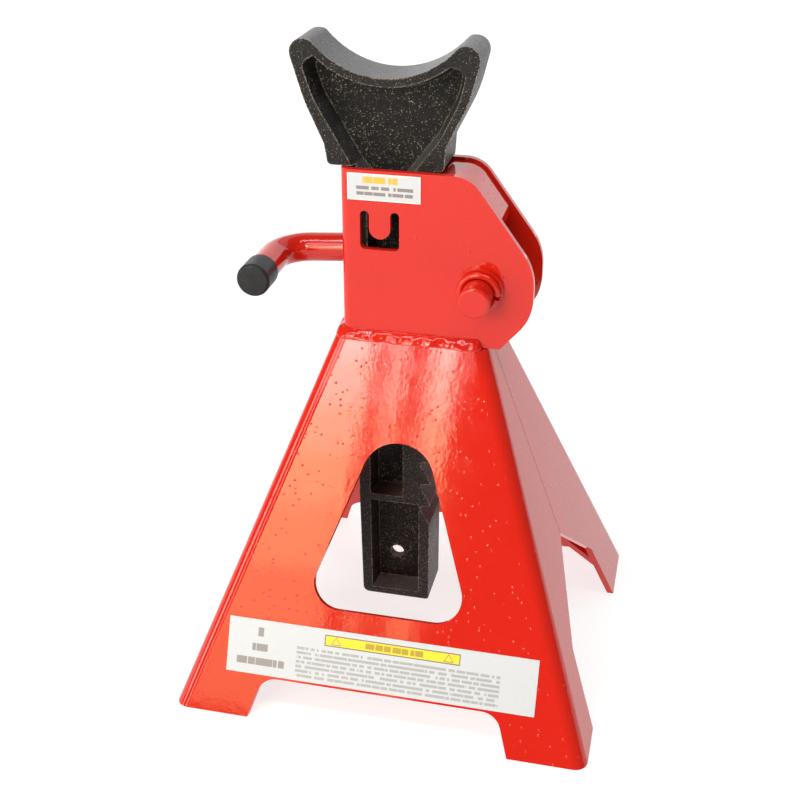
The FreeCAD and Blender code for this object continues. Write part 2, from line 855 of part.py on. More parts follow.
def cut_teeth(body):
    """The rack on the bar's pivot side: one notch, repeated up the stem."""
    notch = new_sketch(body, "XZ_Plane", "tooth")
    add_polygon(
        notch,
        [
            ("stem_right + 1", "lowest_tooth_face"),
            ("stem_right", "lowest_tooth_face"),
            ("stem_right - tooth_depth", "lowest_tooth_face - 0.7"),
            ("stem_right - tooth_depth", "lowest_tooth_face - 2.8"),
            ("stem_right", "lowest_tooth_face - tooth_run"),
            ("stem_right + 1", "lowest_tooth_face - tooth_run"),
        ],
    )
    doc.recompute()
    cut = pocket(body, notch, "bar_half_depth * 2 + 2", both_ways=True, name="tooth_cut")
    rack = body.newObject("PartDesign::LinearPattern", f"{body.Name}_rack")
    rack.Originals = [cut]
    rack.Direction = (origin_feature(body, "Z_Axis"), [""])
    rack.setExpression("Length", bound("tooth_pitch * (tooth_count - 1)"))
    rack.setExpression("Occurrences", bound("tooth_count"))
    body.Tip = rack
    doc.recompute()
    if {"Invalid", "Error"} & set(rack.State) or not rack.Shape.Volume < cut.Shape.Volume:
        raise RuntimeError("the rack failed")


def lever_rod():
    """The round rod: pivot, arm behind the tower and handle, bent in one plane."""
    body = new_body("lever_rod")
    path = new_sketch(body, "XY_Plane", "path", axis=V(0, 1, 0), angle="-arm_droop")
    points = [
        V(0, value("rod_front"), 0),
        V(0, value("arm_depth"), 0),
        V(-value("arm_length"), value("arm_depth"), 0),
        V(-value("arm_length"), value("arm_depth - handle_length"), 0),
    ]
    add_bent_path(path, points, ["arm_bend_radius", "handle_bend_radius"])
    section = new_sketch(body, "XZ_Plane", "section", offset="-rod_front")
    add_circle(section, "0", "0", "rod_diameter / 2")
    doc.recompute()
    pipe = body.newObject("PartDesign::AdditivePipe", "lever_rod_pipe")
    pipe.Profile = section
    pipe.Spine = path
    doc.recompute()
    groove = new_sketch(body, "YZ_Plane", "groove")
    add_polygon(
        groove,
        [
            ("ring_groove_front", "ring_groove_radius"),
            ("ring_groove_rear", "ring_groove_radius"),
            ("ring_groove_rear", "rod_diameter / 2 + 1"),
            ("ring_groove_front", "rod_diameter / 2 + 1"),
        ],
    )
    doc.recompute()
    before = body.Shape.Volume
    cut = body.newObject("PartDesign::Groove", "lever_rod_groove_cut")
    cut.Profile = groove
    cut.ReferenceAxis = (origin_feature(body, "Y_Axis"), [""])
    cut.Angle = 360.0
    doc.recompute()
    if not body.Shape.Volume < before - 1.0:
        raise RuntimeError("the ring groove cuts nothing")
    pin_hole = new_sketch(body, "XY_Plane", "pin_hole")
    add_circle(pin_hole, "0", "0", "pawl_pin_radius + 0.02")
    doc.recompute()
    pocket(body, pin_hole, "rod_diameter * 1.5", both_ways=True, name="pin_hole_cut")
    rims = rims_where(body.Tip.Shape, lambda p: near(p.y, "rod_front"))
    round_edges(body, "rod_end_round", rims, "EndRound")
    place_on_pivot(body)
    return body


def add_bent_path(sketch, points, radii):
    """Straight runs joined by tangent arcs of dimensioned radii, held at their corners' ends."""
    corners = []
    for (before, corner, after), radius in zip(zip(points, points[1:], points[2:]), radii):
        inward = (before - corner).normalize()
        onward = (after - corner).normalize()
        half = inward.getAngle(onward) / 2
        tangent = value(radius) / math.tan(half)
        bisector = (inward + onward).normalize()
        centre = corner + bisector * (value(radius) / math.sin(half))
        middle = centre - bisector * value(radius)
        corners.append((corner + inward * tangent, middle, corner + onward * tangent))
    starts = [points[0]] + [corner[2] for corner in corners]
    ends = [corner[0] for corner in corners] + [points[-1]]
    previous = None
    for index, (start, end) in enumerate(zip(starts, ends)):
        line = sketch.addGeometry(Part.LineSegment(start, end), False)
        sketch.addConstraint(Sketcher.Constraint("Block", line))
        if previous is not None:
            arc_points = corners[index - 1]
            arc = sketch.addGeometry(Part.Arc(*arc_points), False)
            first_is_start = sketch.getPoint(arc, 1).isEqual(arc_points[0], 1e-3)
            a, b = (1, 2) if first_is_start else (2, 1)
            sketch.addConstraint(Sketcher.Constraint("Coincident", previous, 2, arc, a))
            sketch.addConstraint(Sketcher.Constraint("Coincident", line, 1, arc, b))
            bend = sketch.addConstraint(Sketcher.Constraint("Radius", arc, value(radii[index - 1])))
            sketch.setExpression(f"Constraints[{bend}]", bound(radii[index - 1]))
        previous = line


def place_on_pivot(body):
    """Move a body modelled about the pivot's axis to the pivot."""
    body.setExpression("Placement.Base.x", bound("pivot_x"))
    body.setExpression("Placement.Base.z", bound("pivot_z"))


def lever_cap():
    """The soft cap pushed on the handle's end."""
    body = new_body("lever_cap")
    sketch = new_sketch(body, "XZ_Plane", "section")
    bore = "(rod_diameter / 2)"
    add_polygon(
        sketch,
        [
            ("0", "0"),
            ("cap_radius", "0"),
            ("cap_radius", "cap_length"),
            (bore, "cap_length"),
            (bore, "cap_end_thickness"),
            ("0", "cap_end_thickness"),
        ],
    )
    doc.recompute()
    turn = body.newObject("PartDesign::Revolution", "lever_cap_turn")
    turn.Profile = sketch
    turn.ReferenceAxis = (origin_feature(body, "Z_Axis"), [""])
    turn.Angle = 360.0
    doc.recompute()
    for name, radius, level in (("Front", "cap_round", "0"), ("Rear", "cap_rear_round", "cap_length")):
        rims = rims_where(body.Tip.Shape, lambda p: near(p.z, level) and near(abs(p.x), "cap_radius"))
        round_edges(body, radius, rims, f"{name}Round")
    tip = V(-value("arm_length"), value("arm_depth - handle_length - cap_end_thickness"), 0)
    droop = FreeCAD.Rotation(V(0, 1, 0), -value("arm_droop"))
    pivot = V(value("pivot_x"), 0, value("pivot_z"))
    body.Placement = FreeCAD.Placement(pivot + droop.multVec(tip), FreeCAD.Rotation(V(0, 0, 1), V(0, 1, 0)))
    return body


def pawl():
    """The cast pawl: a hub on the rod and a nose that reaches up into the rack."""
    body = new_body("pawl")
    nose = new_sketch(body, "XZ_Plane", "nose")
    face = "(lowest_tooth_face + tooth_pitch * (tooth_count - 1) - pivot_z)"
    reach = "(stem_right - pawl_bite - pivot_x)"
    add_polygon(
        nose,
        [
            (reach, f"{face} - pawl_play - pawl_tip"),
            (reach, f"{face} - pawl_play"),
            (f"{reach} + pawl_bite * 2", f"{face} - pawl_play + 0.6"),
            ("pawl_hub_radius * 0.55", "pawl_hub_radius * 0.78"),
            ("-pawl_hub_radius * 0.86", "-pawl_hub_radius * 0.45"),
            (f"{reach} + pawl_bite * 1.6", f"{face} - pawl_play - pawl_tip - 3.1"),
        ],
    )
    doc.recompute()
    pad(body, nose, "pawl_half_width * 2", both_ways=True, name="arm")
    hub = new_sketch(body, "XZ_Plane", "hub")
    add_circle(hub, "0", "0", "pawl_hub_radius")
    doc.recompute()
    pad(body, hub, "pawl_half_width * 2", both_ways=True, name="hub_pad")
    bore = new_sketch(body, "XZ_Plane", "bore")
    add_circle(bore, "0", "0", "rod_diameter / 2 + 0.02")
    doc.recompute()
    pocket(body, bore, "pawl_half_width * 2 + 2", both_ways=True, name="bore_cut")
    pin_hole = new_sketch(body, "XY_Plane", "pin_hole")
    add_circle(pin_hole, "0", "0", "pawl_pin_radius + 0.02")
    doc.recompute()
    pocket(body, pin_hole, "pawl_hub_radius * 6", both_ways=True, name="pin_hole_cut")
    place_on_pivot(body)
    return body


def pawl_pin():
    """The slotted spring pin through the pawl and the rod."""
    body = new_body("pawl_pin")
    outside = new_sketch(body, "XY_Plane", "outside")
    add_circle(outside, "0", "0", "pawl_pin_radius")
    doc.recompute()
    pad(body, outside, "pawl_pin_length", both_ways=True)
    inside = new_sketch(body, "XY_Plane", "inside")
    add_circle(inside, "0", "0", "pawl_pin_radius - pawl_pin_wall")
    doc.recompute()
    pocket(body, inside, "pawl_pin_length + 2", both_ways=True, name="inside_cut")
    slot = new_sketch(body, "XY_Plane", "slot")
    add_polygon(
        slot,
        [
            ("0", "-pawl_pin_slot / 2"),
            ("pawl_pin_radius + 1", "-pawl_pin_slot / 2"),
            ("pawl_pin_radius + 1", "pawl_pin_slot / 2"),
            ("0", "pawl_pin_slot / 2"),
        ],
    )
    doc.recompute()
    pocket(body, slot, "pawl_pin_length + 2", both_ways=True, name="slot_cut")
    place_on_pivot(body)
    return body


def front_washer():
    """The flat washer between the front ear and the retaining ring."""
    body = new_body("front_washer")
    disc = new_sketch(body, "XZ_Plane", "disc", offset="tower_half_depth")
    add_circle(disc, "pivot_x", "pivot_z", "washer_radius")
    add_circle(disc, "pivot_x", "pivot_z", "rod_diameter / 2 + rod_bore_clearance")
    doc.recompute()
    pad(body, disc, "washer_thickness")
    return body


def retaining_ring():
    """The split wire ring sprung into the rod's groove."""
    body = new_body("retaining_ring")
    wire = new_sketch(body, "YZ_Plane", "wire")
    add_circle(wire, "(ring_groove_front + ring_groove_rear) / 2", "ring_radius", "ring_wire_radius")
    doc.recompute()
    turn = body.newObject("PartDesign::Revolution", "retaining_ring_turn")
    turn.Profile = wire
    turn.ReferenceAxis = (origin_feature(body, "Y_Axis"), [""])
    turn.setExpression("Angle", bound("ring_sweep"))
    doc.recompute()
    start = value("ring_gap_angle + (360 - ring_sweep) / 2")
    body.Placement = FreeCAD.Placement(V(), FreeCAD.Rotation(V(0, 1, 0), start))
    place_on_pivot(body)
    return body


def labels():
    """The two stickers: a wide one low on the base's face and a small one at the top of the tower."""
    wide = new_body("base_label")
    sketch = new_sketch(
        wide,
        "XZ_Plane",
        "outline",
        offset="base_half_depth",
        axis=V(1, 0, 0),
        angle=f"-{FRONT_TILT}",
    )
    low = f"base_label_bottom / {FRONT_RISE}"
    high = f"base_label_top / {FRONT_RISE}"
    left = "base_label_left"
    right = "base_label_right"
    add_polygon(sketch, [(left, low), (right, low), (right, high), (left, high)])
    doc.recompute()
    pad(wide, sketch, "label_thickness")
    small = new_body("caution_label")
    sketch = new_sketch(small, "XZ_Plane", "outline", offset="tower_half_depth")
    add_polygon(
        sketch,
        [
            ("caution_left", "caution_bottom"),
            ("caution_right", "caution_bottom"),
            ("caution_right", "caution_top"),
            ("caution_left", "caution_top"),
        ],
    )
    doc.recompute()
    pad(small, sketch, "label_thickness")


def check_and_export():
    """Refuse a failed or invalid object, then write one STEP file per sub-part."""
    doc.recompute()
    for item in doc.Objects:
        if {"Invalid", "Error"} & set(item.State):
            raise RuntimeError(f"{item.Label} failed: {item.State}")
    os.makedirs("parts", exist_ok=True)
    for body in SUB_PARTS:
        shape = body.Shape
        if shape.isNull() or not shape.isValid() or not shape.Solids:
            raise RuntimeError(f"{body.Label} has no valid solid")
        shape.exportStep(f"parts/{body.Label}.step")
        print(f"{body.Label:20s} {len(shape.Solids)} solid {shape.Volume / 1000:9.3f} cm3")


base_shell("base_front_shell", 0)
base_shell("base_rear_shell", 180)
for end_name, end in (("front", -1), ("rear", 1)):
    for side_name, side in (("left", -1), ("right", 1)):
        foot_pad(f"foot_pad_{end_name}_{side_name}", side, end)
tower_housing()
top_strap()
lower_guide_strap()
tower_welds()
seam_weld("seam_weld_left", -1)
seam_weld("seam_weld_right", 1)
ratchet_bar()
lever_rod()
lever_cap()
pawl()
pawl_pin()
front_washer()
retaining_ring()
labels()
check_and_export()
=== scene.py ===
import bpy
import math
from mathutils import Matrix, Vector, noise


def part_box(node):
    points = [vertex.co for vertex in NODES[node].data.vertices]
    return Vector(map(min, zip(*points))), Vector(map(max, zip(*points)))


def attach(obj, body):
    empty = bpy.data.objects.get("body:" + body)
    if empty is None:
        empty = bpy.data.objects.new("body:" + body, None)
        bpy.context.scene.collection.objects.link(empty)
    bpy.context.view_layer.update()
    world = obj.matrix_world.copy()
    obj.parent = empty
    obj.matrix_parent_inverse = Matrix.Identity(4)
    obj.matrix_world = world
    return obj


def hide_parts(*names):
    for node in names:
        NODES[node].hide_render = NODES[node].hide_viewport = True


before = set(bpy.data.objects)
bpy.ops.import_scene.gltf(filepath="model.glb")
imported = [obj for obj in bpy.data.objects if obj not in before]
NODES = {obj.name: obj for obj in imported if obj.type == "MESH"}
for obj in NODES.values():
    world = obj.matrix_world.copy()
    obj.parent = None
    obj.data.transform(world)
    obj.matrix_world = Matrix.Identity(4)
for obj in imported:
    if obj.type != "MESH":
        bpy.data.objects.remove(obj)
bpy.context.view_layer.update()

MM = 0.001


# ---------------------------------------------------------------- shader graphs
def grey(level):
    return (level, level, level)


class Graph:
    """A material, and short ways to add and join its shader nodes."""

    def __init__(self, name):
        self.material = bpy.data.materials.new(name)
        self.material.use_nodes = True
        self.tree = self.material.node_tree
        self.tree.nodes.clear()
        self.shader = self.add("ShaderNodeBsdfPrincipled")
        out = self.add("ShaderNodeOutputMaterial")
        self.tree.links.new(self.shader.outputs[0], out.inputs["Surface"])
        self.coord = self.add("ShaderNodeTexCoord").outputs["Object"]

    def add(self, kind, **settings):
        node = self.tree.nodes.new(kind)
        for key, setting in settings.items():
            setattr(node, key, setting)
        return node

    def feed(self, socket, source):
        """Join a source to a socket. A plain number or colour is set on the socket itself."""
        if isinstance(source, bpy.types.NodeSocket):
            self.tree.links.new(source, socket)
        elif isinstance(source, tuple):
            socket.default_value = (*source, 1.0)
        else:
            socket.default_value = source

    def give(self, name, source):
        """Feed one input of the material's shader."""
        self.feed(self.shader.inputs[name], source)

    def math(self, operation, a, b=0.5, c=0.5):
        node = self.add("ShaderNodeMath", operation=operation)
        for socket, source in zip(node.inputs, (a, b, c)):
            self.feed(socket, source)
        return node.outputs[0]

    def invert(self, mask):
        return self.math("SUBTRACT", 1.0, mask)

    def scaled(self, mask, share):
        return self.math("MULTIPLY", mask, share)

    def both(self, *masks):
        """One where every mask is."""
        result = masks[0]
        for mask in masks[1:]:
            result = self.math("MULTIPLY", result, mask)
        return result

    def between(self, source, low, high):
        """One where a number lies between two limits, and nought elsewhere."""
        return self.math("COMPARE", source, (low + high) / 2, (high - low) / 2)

    def axes(self, vector=None):
        """The separate X, Y and Z of a vector, of the object's own coordinates by default."""
        node = self.add("ShaderNodeSeparateXYZ")
        self.feed(node.inputs[0], vector or self.coord)
        return node.outputs

    def drawn_out(self, share):
        """The object's coordinates, squeezed in Z so that a texture is drawn out along it."""
        node = self.add("ShaderNodeMapping")
        node.inputs["Scale"].default_value = (1.0, 1.0, share)
        self.feed(node.inputs["Vector"], self.coord)
        return node.outputs[0]

    def noise(self, scale, detail=2.0, roughness=0.5, vector=None):
        node = self.add("ShaderNodeTexNoise")
        self.feed(node.inputs["Vector"], vector or self.coord)
        node.inputs["Scale"].default_value = scale
        node.inputs["Detail"].default_value = detail
        node.inputs["Roughness"].default_value = roughness
        return node.outputs[0]

    def cells(self, scale):
        """The distance to the nearest of many scattered points, and that point's own random number."""
        node = self.add("ShaderNodeTexVoronoi")
        self.feed(node.inputs["Vector"], self.coord)
        node.inputs["Scale"].default_value = scale
        return node.outputs["Distance"], self.axes(node.outputs["Color"])[0]

    def ramp(self, source, *stops):
        """A colour ramp with one (position, colour) pair for each stop."""
        node = self.add("ShaderNodeValToRGB")
        self.feed(node.inputs[0], source)
        elements = node.color_ramp.elements
        while len(elements) < len(stops):
            elements.new(0.5)
        for element, (position, colour) in zip(elements, stops):
            element.position = position
            element.color = (*colour, 1.0)
        return node.outputs[0]

    def step(self, source, low, high):
        """A smooth rise from nought to one between two limits."""
        node = self.add("ShaderNodeMapRange")
        node.interpolation_type = "SMOOTHSTEP"
        self.feed(node.inputs["Value"], source)
        node.inputs["From Min"].default_value = low
        node.inputs["From Max"].default_value = high
        return node.outputs[0]

    def mix(self, factor, a, b):
        node = self.add("ShaderNodeMix", data_type="RGBA")
        for socket, source in zip((node.inputs[0], node.inputs[6], node.inputs[7]), (factor, a, b)):
            self.feed(socket, source)
        return node.outputs[2]

    def bump(self, height, strength, distance, normal=None):
        node = self.add("ShaderNodeBump")
        node.inputs["Strength"].default_value = strength
        node.inputs["Distance"].default_value = distance
        self.feed(node.inputs["Height"], height)
        if normal:
            self.feed(node.inputs["Normal"], normal)
        return node.outputs[0]

    def edges(self, radius, low, high):
        """One on edges sharper than the given radius, nought on the faces between them."""
        rounded = self.add("ShaderNodeBevel", samples=4)
        rounded.inputs["Radius"].default_value = radius
        agreement = self.add("ShaderNodeVectorMath", operation="DOT_PRODUCT")
        self.feed(agreement.inputs[0], rounded.outputs[0])
        self.feed(agreement.inputs[1], self.add("ShaderNodeNewGeometry").outputs["Normal"])
        return self.invert(self.step(agreement.outputs["Value"], low, high))


# ---------------------------------------------------------------- materials
def red_paint():
    """Thick gloss enamel over pressed steel: soft runs, orange peel and a scatter of dust nibs."""
    g = Graph("red_paint")
    patch = g.noise(14.0, 3.0)
    g.give("Base Color", g.mix(patch, (0.53, 0.012, 0.005), (0.64, 0.017, 0.007)))
    g.give("Roughness", g.ramp(g.noise(95.0, 3.0, 0.6), (0.35, grey(0.045)), (0.75, grey(0.09))))
    runs = g.bump(g.noise(200.0, 1.0, vector=g.drawn_out(0.22)), 0.014, 1.0 * MM)
    wave = g.bump(g.noise(120.0, 1.0), 0.014, 1.0 * MM, runs)
    peel = g.bump(g.noise(620.0, 2.0, 0.6), 0.045, 0.30 * MM, wave)
    distance, lot = g.cells(400.0)
    dusty = g.step(patch, 0.30, 0.46)
    nibs = g.both(dusty, g.step(lot, 0.58, 0.60), g.invert(g.step(distance, 0.0, 0.26)))
    g.give("Normal", g.bump(nibs, 1.0, 0.11 * MM, peel))
    return g.material


def black_casting():
    """Sand-cast iron under a thin black coat: grit, pale specks that are partly tan sand and partly painted
    glints, edges paled partly by rubbing and partly by a painted highlight, and dust on top.
    """
    g = Graph("black_casting")
    grit = g.noise(620.0, 5.0, 0.72)
    lump = g.noise(90.0, 3.0, 0.6)
    coat = g.ramp(grit, (0.35, (0.002, 0.002, 0.0025)), (0.80, (0.018, 0.018, 0.019)))
    # pale specks: partly tan sand in the coat, partly painted glints of light
    specks_and_glints = g.both(g.step(lump, 0.25, 0.55), g.step(g.noise(1700.0, 1.0), 0.635, 0.72))
    facing_up = g.step(g.axes(g.add("ShaderNodeNewGeometry").outputs["Normal"])[2], 0.35, 0.95)
    dust = g.both(facing_up, g.ramp(lump, (0.25, grey(0.45)), (0.7, grey(0.95))))
    # pale edges: partly rubbed wear, partly a painted highlight where the edges catch light
    broken = g.step(g.noise(1500.0, 2.0), 0.44, 0.53)
    rubbed_and_highlit = g.both(g.edges(0.9 * MM, 0.80, 0.985), broken, g.step(lump, 0.32, 0.46))
    colour = g.mix(dust, coat, (0.155, 0.155, 0.165))
    # the specks' tan colour stands for sand and for painted glints alike
    colour = g.mix(specks_and_glints, colour, (0.34, 0.28, 0.21))
    # the edges' pale tan stands for rubbed wear and for a painted highlight alike
    g.give("Base Color", g.mix(rubbed_and_highlit, colour, (0.48, 0.40, 0.30)))
    g.give("Roughness", g.ramp(lump, (0.3, grey(0.30)), (0.8, grey(0.42))))
    g.give("Specular IOR Level", 0.32)
    coarse = g.bump(lump, 0.35, 1.2 * MM)
    g.give("Normal", g.bump(grit, 1.0, 1.1 * MM, coarse))
    return g.material


def raw_casting():
    """Bare cast iron with a brown bloom."""
    g = Graph("pawl_casting")
    bloom = g.noise(120.0, 5.0, 0.65)
    rust, dull, bare = (0.10, 0.085, 0.07), (0.19, 0.18, 0.17), (0.26, 0.25, 0.24)
    g.give("Base Color", g.ramp(bloom, (0.35, rust), (0.6, dull), (0.8, bare)))
    g.give("Metallic", 0.6)
    g.give("Roughness", g.ramp(bloom, (0.3, grey(0.65)), (0.8, grey(0.45))))
    g.give("Normal", g.bump(g.noise(900.0, 3.0, 0.7), 0.5, 0.5 * MM))
    return g.material


def spring_steel():
    """Rolled steel strip with fine lengthwise scratches."""
    g = Graph("spring_steel")
    scratch = g.noise(2600.0, 3.0, 0.6, vector=g.drawn_out(0.06))
    g.give("Base Color", g.ramp(scratch, (0.3, (0.34, 0.34, 0.35)), (0.8, (0.52, 0.52, 0.53))))
    g.give("Metallic", 1.0)
    g.give("Roughness", g.ramp(scratch, (0.3, grey(0.25)), (0.8, grey(0.42))))
    g.give("Normal", g.bump(scratch, 0.15, 0.1 * MM))
    return g.material


def black_vinyl():
    """Dipped vinyl: dark, slightly waxy, with a faint texture and scuffs."""
    g = Graph("black_vinyl")
    scuff = g.noise(260.0, 4.0, 0.65)
    g.give("Base Color", g.ramp(scuff, (0.35, (0.008, 0.008, 0.010)), (0.8, (0.022, 0.022, 0.025))))
    g.give("Roughness", g.ramp(scuff, (0.3, grey(0.36)), (0.8, grey(0.55))))
    g.give("Specular IOR Level", 0.3)
    g.give("Normal", g.bump(g.noise(1300.0, 2.0), 0.12, 0.2 * MM))
    return g.material


def printed(name, paper):
    """A printed film: its graph, and its paper with a faint grain, before any printing."""
    g = Graph(name)
    grain = g.noise(800.0, 2.0)
    g.give("Roughness", 0.34)
    g.give("Normal", g.bump(grain, 0.08, 0.1 * MM))
    return g, g.mix(grain, tuple(0.93 * c for c in paper), paper)


def print_rows(g, x, z, left, right, bottom, top, rows):
    """Rows of broken bars that stand for print, with no letters in them."""
    word_length, row_shift, word_share = 1 / 520.0, 9.7, 0.42
    line_low, line_high = 0.2, 0.8
    along = g.math("DIVIDE", g.math("SUBTRACT", z, bottom), (top - bottom) / rows)
    place = g.add("ShaderNodeCombineXYZ")
    g.feed(place.inputs[0], g.math("MULTIPLY", x, 1 / word_length))
    g.feed(place.inputs[1], g.math("MULTIPLY", g.math("FLOOR", along), row_shift))
    word = g.math("GREATER_THAN", g.noise(1.0, 1.0, vector=place.outputs[0]), word_share)
    line = g.between(g.math("FRACT", along), line_low, line_high)
    return g.both(word, line, g.between(x, left, right), g.between(z, bottom, top))


def base_label():
    """A white sticker: a yellow band with two triangle signs, three dark bars, rows of small print."""
    g, colour = printed("base_label", (0.61, 0.635, 0.69))
    x, _, z = g.axes()
    low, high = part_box("base_label")
    left, right = low[0], high[0]
    floor, tall = low[2], high[2] - low[2]
    light_ink, dark_ink, brown_ink, yellow = (
        (0.30, 0.30, 0.31), (0.20, 0.17, 0.16), (0.24, 0.17, 0.04), (0.90, 0.66, 0.03)
    )
    small = print_rows(
        g, x, z, left + 32 * MM, right - 16 * MM, floor + 0.06 * tall, floor + 0.64 * tall, 7
    )
    colour = g.mix(g.scaled(small, 0.7), colour, light_ink)

    # each bar at the left: its centre and half length, then its level and height as shares
    for centre, half, level, height in (
        (15.0 * MM, 1.3 * MM, 0.78, 0.27),
        (15.0 * MM, 3.6 * MM, 0.50, 0.22),
        (15.5 * MM, 11.2 * MM, 0.24, 0.22),
    ):
        middle, bottom = left + centre, floor + (level - height / 2) * tall
        bar = print_rows(g, x, z, middle - half, middle + half, bottom, bottom + height * tall, 1)
        colour = g.mix(g.scaled(bar, 0.78), colour, dark_ink)

    band_left, band_right = left + 44.5 * MM, left + 105.5 * MM
    band_low, band_high = floor + 0.70 * tall, floor + 0.905 * tall
    border = 0.5 * MM
    outer = g.both(g.between(x, band_left, band_right), g.between(z, band_low, band_high))
    inner = g.both(
        g.between(x, band_left + border, band_right - border),
        g.between(z, band_low + border, band_high - border),
    )
    colour = g.mix(inner, g.mix(outer, colour, dark_ink), yellow)
    sign_inset, sign_slope, sign_foot = 5.2 * MM, 1.5, band_low + 0.8 * MM
    for centre in (band_left + sign_inset, band_right - sign_inset):
        away = g.math("ABSOLUTE", g.math("SUBTRACT", x, centre))
        slant = g.math("ADD", g.math("MULTIPLY", away, sign_slope), z)
        sides = g.both(
            g.between(slant, band_high - 1.0 * MM, band_high - 0.5 * MM), g.between(z, sign_foot, 1.0)
        )
        foot = g.both(
            g.between(z, sign_foot, sign_foot + 0.3 * MM), g.between(slant, 0.0, band_high - 0.6 * MM)
        )
        colour = g.mix(g.math("MAXIMUM", sides, foot), colour, dark_ink)
    word = print_rows(
        g, x, z, band_left + 18.5 * MM, band_right - 16.5 * MM, band_low + 0.4 * MM, band_high - 0.4 * MM, 1
    )
    g.give("Base Color", g.mix(g.scaled(word, 0.7), colour, brown_ink))
    return g.material


def caution_label():
    """A small grey-white sticker with a gold row above two dark rows, on a white edge."""
    g, colour = printed("caution_label", (0.60, 0.62, 0.66))
    x, _, z = g.axes()
    low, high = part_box("caution_label")
    left, right, bottom, top = low[0], high[0], low[2], high[2]
    tall = top - bottom
    white, gold, dark_ink = (0.80, 0.81, 0.81), (0.68, 0.45, 0.06), (0.16, 0.12, 0.12)
    edge, foot_edge = 0.4 * MM, 0.5 * MM
    inner = g.both(
        g.between(x, left + edge, right - edge), g.between(z, bottom + foot_edge, top - edge)
    )
    colour = g.mix(inner, white, colour)
    title = print_rows(
        g, x, z, left + 6.5 * MM, right - 9.5 * MM, bottom + 0.57 * tall, bottom + 0.97 * tall, 1
    )
    colour = g.mix(title, colour, gold)
    rows = print_rows(
        g, x, z, left + 3 * MM, right - 3 * MM, bottom + 0.15 * tall, bottom + 0.58 * tall, 2
    )
    g.give("Base Color", g.mix(g.scaled(rows, 0.8), colour, dark_ink))
    return g.material


def studio_floor():
    """Matt paper that glows, so that it stays pale to the horizon and takes little colour."""
    g = Graph("studio_floor")
    g.give("Base Color", g.mix(g.noise(2.0), grey(0.33), grey(0.37)))
    g.give("Roughness", 0.9)
    g.give("Emission Color", grey(1.0))
    g.give("Emission Strength", 0.76)
    return g.material


RED = red_paint()
OTHER_MATERIALS = {
    "ratchet_bar": black_casting(),
    "lever_cap": black_vinyl(),
    "pawl": raw_casting(),
    "pawl_pin": spring_steel(),
    "caution_label": caution_label(),
    "base_label": base_label(),
}
EDGE_WIDTHS = {
    "ratchet_bar": 0.7 * MM,
    "tower_housing": 0.4 * MM,
    "top_strap": 0.4 * MM,
    "lower_guide_strap": 0.4 * MM,
    "base_front_shell": 0.4 * MM,
    "base_rear_shell": 0.4 * MM,
    "front_washer": 0.3 * MM,
    "pawl": 0.6 * MM,
}
SHARP_ANGLE = math.radians(40)


def dress(name, node):
    """Give a CAD node its material, and soften its sharp edges."""
    node.data.materials.clear()
    node.data.materials.append(OTHER_MATERIALS.get(name, RED))
    if name in EDGE_WIDTHS:
        soften = node.modifiers.new("soft_edges", "BEVEL")
        soften.width = EDGE_WIDTHS[name]
        soften.segments = 2
        soften.limit_method = "ANGLE"
        soften.angle_limit = SHARP_ANGLE


# ---------------------------------------------------------------- weld round the tower's foot
BEND_RADIUS = 4.0 * MM
WELD_PITCH = 0.4 * MM
WELD_REACH = 4.0 * MM
WELD_RISE = 4.2 * MM
WELD_RIPPLE = 2.6 * MM
WELD_END = 2.0 * MM
WELD_ROOT = 0.2 * MM
WELD_ACROSS = 14


def weld_path():
    """Points round the foot of the tower and the way out from it, from front right to rear right."""
    low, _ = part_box("tower_housing")
    front_low, front_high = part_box("tower_weld_front")
    left, depth = low[0], -low[1]
    right, level = front_high[0], front_low[2]
    stations = []

    def run(start, end, out):
        count = max(2, round((end - start).length / WELD_PITCH))
        for i in range(count):
            stations.append((start.lerp(end, i / count), out))

    def turn(centre, first, last):
        count = round(BEND_RADIUS * abs(last - first) / WELD_PITCH)
        for i in range(count):
            angle = first + (last - first) * i / count
            out = Vector((math.cos(angle), math.sin(angle), 0.0))
            stations.append((centre + out * BEND_RADIUS, out))

    bend_x, bend_y = left + BEND_RADIUS, depth - BEND_RADIUS
    run(Vector((right, -depth, level)), Vector((bend_x, -depth, level)), Vector((0, -1, 0)))
    turn(Vector((bend_x, -bend_y, level)), -math.pi / 2, -math.pi)
    run(Vector((left, -bend_y, level)), Vector((left, bend_y, level)), Vector((-1, 0, 0)))
    turn(Vector((bend_x, bend_y, level)), math.pi, math.pi / 2)
    run(Vector((bend_x, depth, level)), Vector((right, depth, level)), Vector((0, 1, 0)))
    return stations


def weld_section(place, out, travelled, end):
    """One section of the bead, from its top round to its toe, then its root."""
    toe = 0.26 * noise.noise(place * 190.0 + Vector((3.0, 0.0, 0.0)))
    pace = travelled / WELD_RIPPLE + 1.3 * noise.noise(place * 110.0)
    points = []
    for j in range(WELD_ACROSS + 1):
        share = j / WELD_ACROSS
        angle = share * math.pi / 2
        swell = math.sin(math.pi * share)
        crest = 0.035 * math.sin(math.pi * ((pace + 0.5 * swell) % 1.0))
        spot = place + out * (share * WELD_REACH)
        lump = 0.08 * noise.noise(spot * 420.0) + 0.20 * noise.noise(spot * 150.0)
        size = (1.0 + (crest + lump - 0.16) * swell) * end
        sideways = WELD_REACH * size * math.sin(angle) * (1 + toe * share)
        points.append(place + out * sideways + Vector((0, 0, WELD_RISE * size * math.cos(angle))))
    points.append(place - Vector((0, 0, WELD_ROOT)))
    return points


